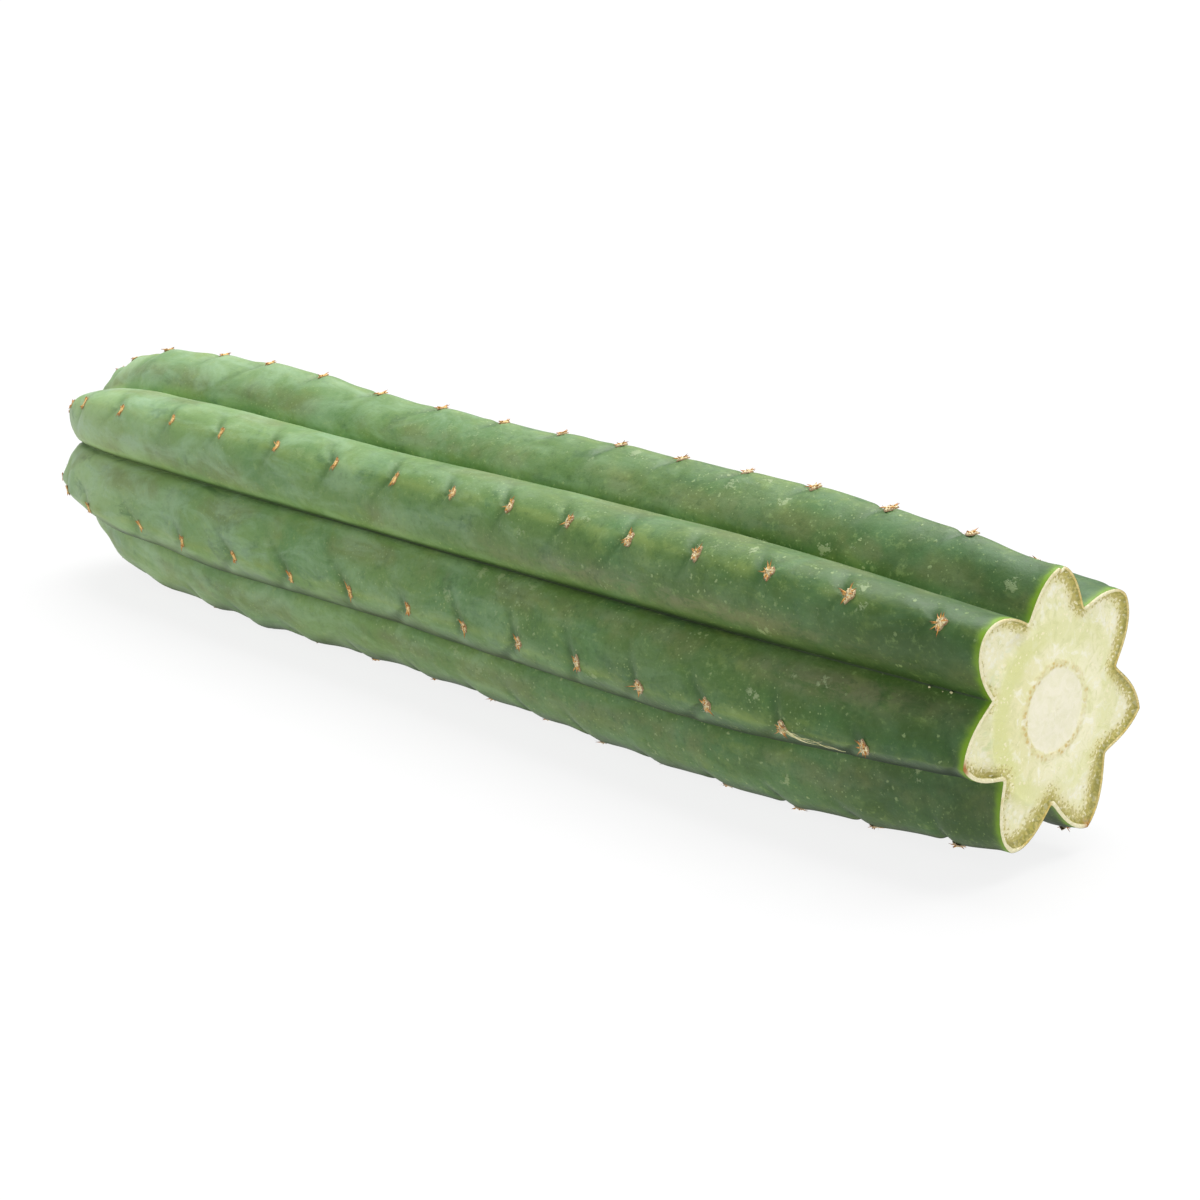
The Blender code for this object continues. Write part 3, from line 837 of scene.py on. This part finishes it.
# %% Pad finish
def felt_finish():
    f = Finish("areole felt")
    age, depth = f.number("age"), f.number("depth")
    fine = f.noise(2600, 3, 0.7)
    golden = f.mix(f.between(fine, 0.38, 0.62), (0.74, 0.40, 0.08), (0.90, 0.66, 0.27))
    old = f.mix(f.between(fine, 0.42, 0.58), (0.60, 0.44, 0.19), (0.90, 0.82, 0.52))
    stubs = f.between(f.cells(900).outputs["Distance"], 0.38, 0.22)
    old = f.mix(f.times(stubs, 0.85), old, (0.30, 0.115, 0.025))
    golden = f.mix(f.times(stubs, 0.55), golden, (0.26, 0.085, 0.02))
    colour = f.mix(f.between(age, 0.15, 0.75), golden, old)
    # Painted shade low on each pad, where it meets the skin
    colour = f.mix(f.between(depth, 0.35, 0.0, 0, 0.75), colour, (0.16, 0.08, 0.03))
    return f.finish(colour, 0.85, fine, 0.0004, 0.8, Sheen_Weight=0.15)


felt_material = felt_finish()

# %% [markdown]
# A pad could be sculpted once and copied, but then all of them would look the same.  Here one
# array holds every pad: its lumps, its tufts and its size are drawn from a seeded random row.

# %% Make the pads
PAD_ROWS, PAD_COLUMNS = 7, 16
tilt = np.linspace(0.06, 1.0, PAD_ROWS)[:, None] * np.pi / 2
spin = np.arange(PAD_COLUMNS)[None, :] / PAD_COLUMNS * 2 * np.pi
# A dome: radius sin, height cos, with a lumpy edge and tufts that differ from pad to pad
lump = 1 + 0.16 * np.cos(3 * spin + rng.uniform(0, 6.3, (pad_count, 1, 1))) \
    + 0.10 * np.cos(5 * spin + rng.uniform(0, 6.3, (pad_count, 1, 1)))
radius = np.sin(tilt) * lump
tufts = rng.uniform(-1, 1, (pad_count, PAD_ROWS, PAD_COLUMNS)) * (0.20 + 0.20 * age[:, None, None])
rise = np.cos(tilt) - 0.32 + tufts * np.cos(tilt) ** 0.5
long_way = (2.05 + 0.20 * age + rng.normal(0, 0.12, pad_count)) * MM
short_way = (0.95 + 0.80 * age + rng.normal(0, 0.07, pad_count)) * MM
tall = (0.58 + 0.30 * age) * MM
small = np.clip((WHOLE_LENGTH - along_of_pad) / 0.05, 0.45, 1.0)


def on_pads(across, forward, out):
    """Points given as sizes across, towards the tip and out of the skin, at every pad."""
    extra = (slice(None),) + (None,) * (across.ndim - 1)
    return (pad_place[extra] + across[..., None] * pad_across[extra]
            + forward[..., None] * pad_forward[extra] + out[..., None] * pad_out[extra])


pads = on_pads(radius * np.cos(spin) * (long_way * small)[:, None, None],
               radius * np.sin(spin) * (short_way * small)[:, None, None],
               rise * (tall * small)[:, None, None])
tops = on_pads(np.zeros((pad_count, 1)), np.zeros((pad_count, 1)), (0.85 * tall * small)[:, None])
per_pad = PAD_ROWS * PAD_COLUMNS + 1
domes = copies(grid_faces(PAD_ROWS, PAD_COLUMNS)[:, ::-1], pad_count, per_pad)
caps = copies(fan_faces(np.arange(PAD_COLUMNS), per_pad - 1), pad_count, per_pad)
points = np.concatenate([pads.reshape(pad_count, -1, 3), tops], axis=1).reshape(-1, 3)
pad_rise_for_shade = np.concatenate([rise.reshape(pad_count, -1), np.ones((pad_count, 1))], axis=1)
new_piece("areole_pads", points, [domes, caps], felt_material,
          {"age": np.repeat(age, per_pad), "depth": pad_rise_for_shade})

# %% [markdown]
# ## Spines and wool
#
# The spines of this cactus are stubby: a handful on a pad, up to 3.6 mm long, straw at the root
# and orange brown at the tip.  Finer hairs stick out of the felt between them.  Both are cones
# carried along a slightly bent line: ring after ring of a few points, each ring smaller.

# %% Spine finish
def spine_finish():
    f = Finish("spine")
    tip = f.number("tip")
    fine = f.noise(1500, 3, 0.6)
    colour = f.ramp(f.plus(tip, f.between(fine, 0.3, 0.7, -0.15, 0.15)), (
        (0.0, (0.62, 0.40, 0.13)), (0.40, (0.56, 0.235, 0.03)), (0.75, (0.33, 0.10, 0.016)),
        (1.0, (0.14, 0.04, 0.012))))
    return f.finish(colour, f.between(fine, 0.3, 0.7, 0.35, 0.55), fine, 0.0002, 0.4)


def wool_finish():
    f = Finish("areole wool")
    fine = f.noise(1500, 2)
    colour = f.mix(f.between(fine, 0.35, 0.65), (0.78, 0.70, 0.54), (0.56, 0.39, 0.19))
    return f.finish(colour, 0.8, fine, 0.0001, 0.3, Sheen_Weight=0.2)


# %% Make spines and wool
def cones(name, root, direction, bend, length, thick, material, rings=4, sides=5):
    """Tapering, slightly bent cones: at share s the centre is root + s L direction + s2 L bend and
    the radius is thick (1 - s)^0.8, closed with a point."""
    count = len(root)
    side = unit(np.cross(direction, np.roll(direction, 1, axis=1) + 0.01))
    other = np.cross(direction, side)
    s = np.linspace(0, 1, rings + 1)[None, :, None]
    reach, sag = (length[:, None] * way for way in (direction, bend))
    line = root[:, None] + s * reach[:, None] + s**2 * sag[:, None]
    turn = np.arange(sides) / sides * 2 * np.pi
    ring = np.cos(turn)[:, None] * side[:, None] + np.sin(turn)[:, None] * other[:, None]
    girth = thick[:, None, None, None] * (1 - s[..., None]) ** 0.8
    points = line[:, :-1, None] + (girth * ring[:, None])[:, :-1]
    points = np.concatenate([points.reshape(count, -1, 3), line[:, -1:]], axis=1)
    per_cone = rings * sides + 1
    last_ring = (rings - 1) * sides + np.arange(sides)
    body = copies(grid_faces(rings, sides)[:, ::-1], count, per_cone)
    tip = copies(fan_faces(last_ring, per_cone - 1, flip=True), count, per_cone)
    ends = np.append(np.repeat(np.arange(rings) / rings, sides), 1.0)
    return new_piece(name, points.reshape(-1, 3), [body, tip], material, {"tip": np.tile(ends, count)})


def from_pads(owner, heading, lean):
    """Directions that lean out of the skin at pads: heading 0 is across, a quarter turn is tipwards."""
    flat = np.cos(heading)[:, None] * pad_across[owner] + np.sin(heading)[:, None] * pad_forward[owner]
    return np.cos(lean)[:, None] * flat + np.sin(lean)[:, None] * pad_out[owner]


def roots(owner, heading, spread):
    """Places on a pad's own oval, out from its middle by a share of its size."""
    size_across, size_forward = (spread * way[owner] * small[owner] for way in (long_way, short_way))
    return (pad_place[owner] + pad_across[owner] * (np.cos(heading) * size_across)[:, None]
            + pad_forward[owner] * (np.sin(heading) * size_forward)[:, None])


spine_number = rng.integers(7, 12, pad_count)
owner = np.repeat(np.arange(pad_count), spine_number)
order = np.concatenate([np.arange(n) / n for n in spine_number])
heading = order * 2 * np.pi + rng.normal(0, 0.5, len(owner))
young_heading = np.round(heading / np.pi) * np.pi + rng.normal(0, 0.45, len(owner))
heading = np.where(age[owner] < 0.4, young_heading, heading)
lean = rng.uniform(0.0, 0.38, len(owner))
length = rng.gamma(5.0, 0.34, len(owner)).clip(0.9, 3.6) * MM * (0.62 + 0.38 * age[owner])
length = length * small[owner] * np.where(rib_of_pad == LAST_RIB, 0.75, 1)[owner]
root = roots(owner, heading, rng.uniform(0.25, 0.75, len(owner)))
root = root + pad_out[owner] * (0.6 * tall[owner] * small[owner])[:, None]
cones("spines", root, from_pads(owner, heading, lean), rng.normal(0, 0.13, (len(owner), 3)), length,
      rng.uniform(0.18, 0.29, len(owner)) * MM, spine_finish())

HAIRS_PER_PAD = 16
owner = np.repeat(np.arange(pad_count), HAIRS_PER_PAD)
heading = rng.uniform(0, 2 * np.pi, len(owner))
cones("areole_wool", roots(owner, heading, rng.uniform(0.3, 1.0, len(owner))),
      from_pads(owner, heading, rng.uniform(0.1, 1.3, len(owner))), rng.normal(0, 0.3, (len(owner), 3)),
      rng.uniform(0.4, 1.2, len(owner)) * MM * (0.6 + 0.4 * age[owner]), np.full(len(owner), 0.05 * MM),
      wool_finish(), rings=2, sides=3)

# %% [markdown]
# ## What has caught on the stem
#
# A few shreds of dry plant fibre hang on one pad of the sixth rib, and some crumbs lie in the
# groove above it.  The fibre is three thin ribbons that twist about each other, and each crumb is
# a small lumpy ball.

# %% Fibre and crumbs
def straw_finish():
    f = Finish("dry straw")
    fine = f.noise(900, 3, 0.6)
    colour = f.mix(f.between(fine, 0.3, 0.7), (0.70, 0.64, 0.40), (0.50, 0.50, 0.23))
    return f.finish(colour, f.between(fine, 0.3, 0.7, 0.5, 0.7), fine, 0.0002, 0.4)


RIBBON_STEPS, RIBBON_SIDES = 40, 6


def closed_tube(rows, columns, flip=False):
    """Faces of a grid of rings, and of the fans that close it with two points after the grid."""
    count = rows * columns
    body = grid_faces(rows, columns)
    first = fan_faces(np.arange(columns), count, flip=not flip)
    last = fan_faces(count - columns + np.arange(columns), count + 1, flip=flip)
    return (body[:, ::-1] if flip else body), np.concatenate([first, last])


def ribbon(start, end, turn_start, turn_end, width, twist, phase, lift):
    """A flat ribbon on the skin from one distance to another: its width direction turns about its
    line by twist x share, it lifts off as lift sin(pi share)^0.7, and it narrows as 1 - 0.75 s2."""
    s = np.linspace(0, 1, RIBBON_STEPS)
    line = skin_point(start + (end - start) * s, turn_start + (turn_end - turn_start) * s,
                      0.35 * MM + lift * np.sin(np.pi * s) ** 0.7)
    line = line + 0.35 * MM * np.stack([0 * s, np.cos(9 * s + phase), np.sin(9 * s + phase)], -1)
    ahead = unit(np.gradient(line, axis=0))
    side = unit(np.cross(ahead, [0.0, 0.3, 1.0]))
    other = np.cross(ahead, side)
    angle = twist * s + phase
    flat = np.cos(angle)[:, None] * side + np.sin(angle)[:, None] * other
    thin = 0.28 * np.cross(ahead, flat)
    half = width / 2 * (1 - 0.75 * s ** 2)[:, None, None]
    oval = (np.arange(RIBBON_SIDES) / RIBBON_SIDES * 2 * np.pi)[:, None]
    return line[:, None] + half * (np.cos(oval) * flat[:, None] + np.sin(oval) * thin[:, None])


strands = [ribbon(59.5 * MM, 40.0 * MM, 5.505, 5.625, 0.60 * MM, 5.0, 0.4, 0.8 * MM),
           ribbon(59.5 * MM, 43.5 * MM, 5.50, 5.60, 0.50 * MM, 7.0, 2.1, 0.6 * MM),
           ribbon(59.0 * MM, 47.0 * MM, 5.50, 5.565, 0.35 * MM, 4.0, 4.0, 0.7 * MM)]
points = np.concatenate([np.concatenate([strand.reshape(-1, 3), strand[:1].mean(1), strand[-1:].mean(1)])
                         for strand in strands])
per_strand = RIBBON_STEPS * RIBBON_SIDES + 2
faces = [copies(group, len(strands), per_strand)
         for group in closed_tube(RIBBON_STEPS, RIBBON_SIDES, flip=True)]
straw = straw_finish()
new_piece("dry_fibre", points, faces, straw)

CRUMB_ROWS, CRUMB_COLUMNS = 6, 8
CRUMB_ALONG = np.array([19.5, 12.5, 15.0, 118.0]) * MM
CRUMB_TURN = np.array([5.018, 5.014, 5.025, 4.02])
CRUMB_RADIUS = np.array([0.32, 0.40, 0.2, 0.2]) * MM
crumb_count = len(CRUMB_ALONG)
crumb_place = skin_point(CRUMB_ALONG, CRUMB_TURN, 0.35 * MM)
polar, spin = np.meshgrid(np.linspace(0.15, np.pi - 0.15, CRUMB_ROWS),
                          np.arange(CRUMB_COLUMNS) / CRUMB_COLUMNS * 2 * np.pi, indexing="ij")
ball = np.stack([np.cos(polar), np.sin(polar) * np.cos(spin), np.sin(polar) * np.sin(spin)], -1)
lumpy = ball[None] * rng.uniform(0.65, 1.15, (crumb_count, CRUMB_ROWS, CRUMB_COLUMNS, 1))
crumbs = lumpy * CRUMB_RADIUS[:, None, None, None] * [1.3, 1, 1] + crumb_place[:, None, None]
poles = np.stack([crumbs[:, 0].mean(1), crumbs[:, -1].mean(1)], 1)
points = np.concatenate([crumbs.reshape(crumb_count, -1, 3), poles], axis=1).reshape(-1, 3)
per_crumb = CRUMB_ROWS * CRUMB_COLUMNS + 2
faces = [copies(group, crumb_count, per_crumb) for group in closed_tube(CRUMB_ROWS, CRUMB_COLUMNS)]
new_piece("groove_crumbs", points, faces, straw)

# %% [markdown]
# ## Floor, light and camera
#
# The stem lies on a light table: a white sweep that glows a little, so that shadows stay pale.

# %% Floor
def floor_finish():
    f = Finish("white sweep")
    fine = f.noise(30, 2)
    colour = f.mix(f.between(fine, 0.3, 0.7), (0.102, 0.102, 0.102), (0.098, 0.098, 0.099))
    return f.finish(colour, 0.9, fine, 0.0001, 0.05, Specular_IOR_Level=0.1,
                    Emission_Color=(1.0, 1.0, 1.0, 1.0), Emission_Strength=0.84)


FLOOR_REACH = 16.0             # metres to each side, far past what the camera sees
FLOOR_GAP = 0.2 * MM           # the stem's underside lies this far above it


def make_floor():
    ends = (-FLOOR_REACH, FLOOR_REACH)
    corners = [(x, y, low[2] - FLOOR_GAP) for x in ends for y in ends]
    mesh = bpy.data.meshes.new("floor")
    mesh.from_pydata(corners, [], [(0, 2, 3, 1)])
    mesh.materials.append(floor_finish())
    floor = bpy.data.objects.new("floor", mesh)
    bpy.context.scene.collection.objects.link(floor)


make_floor()

# %% [markdown]
# Large studio lights give soft shadows.  Two suns with a very wide disc do the same work as a
# ceiling of soft boxes: a strong one overhead, and a weak one that fills in the cut face.

# %% Light
scene = bpy.context.scene
scene.view_settings.view_transform = "Standard"
world = bpy.data.worlds.new("studio")
scene.world = world
world.use_nodes = True
background = world.node_tree.nodes["Background"]
background.inputs["Color"].default_value = (1.0, 1.0, 1.0, 1.0)
background.inputs["Strength"].default_value = 0.46


def soft_sun(name, strength, azimuth, elevation, spread):
    """A broad soft light far away: azimuth from +X towards +Y and elevation, in degrees."""
    data = bpy.data.lights.new(name, "SUN")
    data.energy = strength
    data.angle = math.radians(spread)
    lamp = bpy.data.objects.new(name, data)
    a, e = math.radians(azimuth), math.radians(elevation)
    towards = Vector((math.cos(a) * math.cos(e), math.sin(a) * math.cos(e), math.sin(e)))
    lamp.rotation_euler = towards.to_track_quat("Z", "Y").to_euler()
    scene.collection.objects.link(lamp)


soft_sun("overhead", 4.5, 112, 68, 60)
soft_sun("cut_side", 1.0, -35, 20, 60)

# %% [markdown]
# The camera looks at the cut end from a little above it.  A long lens keeps the far tip from
# shrinking much, so the stem's even thickness shows.

# %% Camera
CAMERA_PLACE = np.array([0.7301, -0.6802, 0.3316])
CAMERA_LOOK = Vector((-0.684667, 0.668469, -0.290482))
CAMERA_ROLL = math.radians(0.31)
camera_data = bpy.data.cameras.new("camera")
camera_data.lens = 102.0
camera_data.sensor_width = 36.0
camera_data.clip_end = 60
camera = bpy.data.objects.new("camera", camera_data)
turned = CAMERA_LOOK.to_track_quat("-Z", "Y").to_matrix() @ Matrix.Rotation(CAMERA_ROLL, 3, "Z")
camera.matrix_world = Matrix.Translation(CAMERA_PLACE) @ turned.to_4x4()
scene.collection.objects.link(camera)
scene.camera = camera
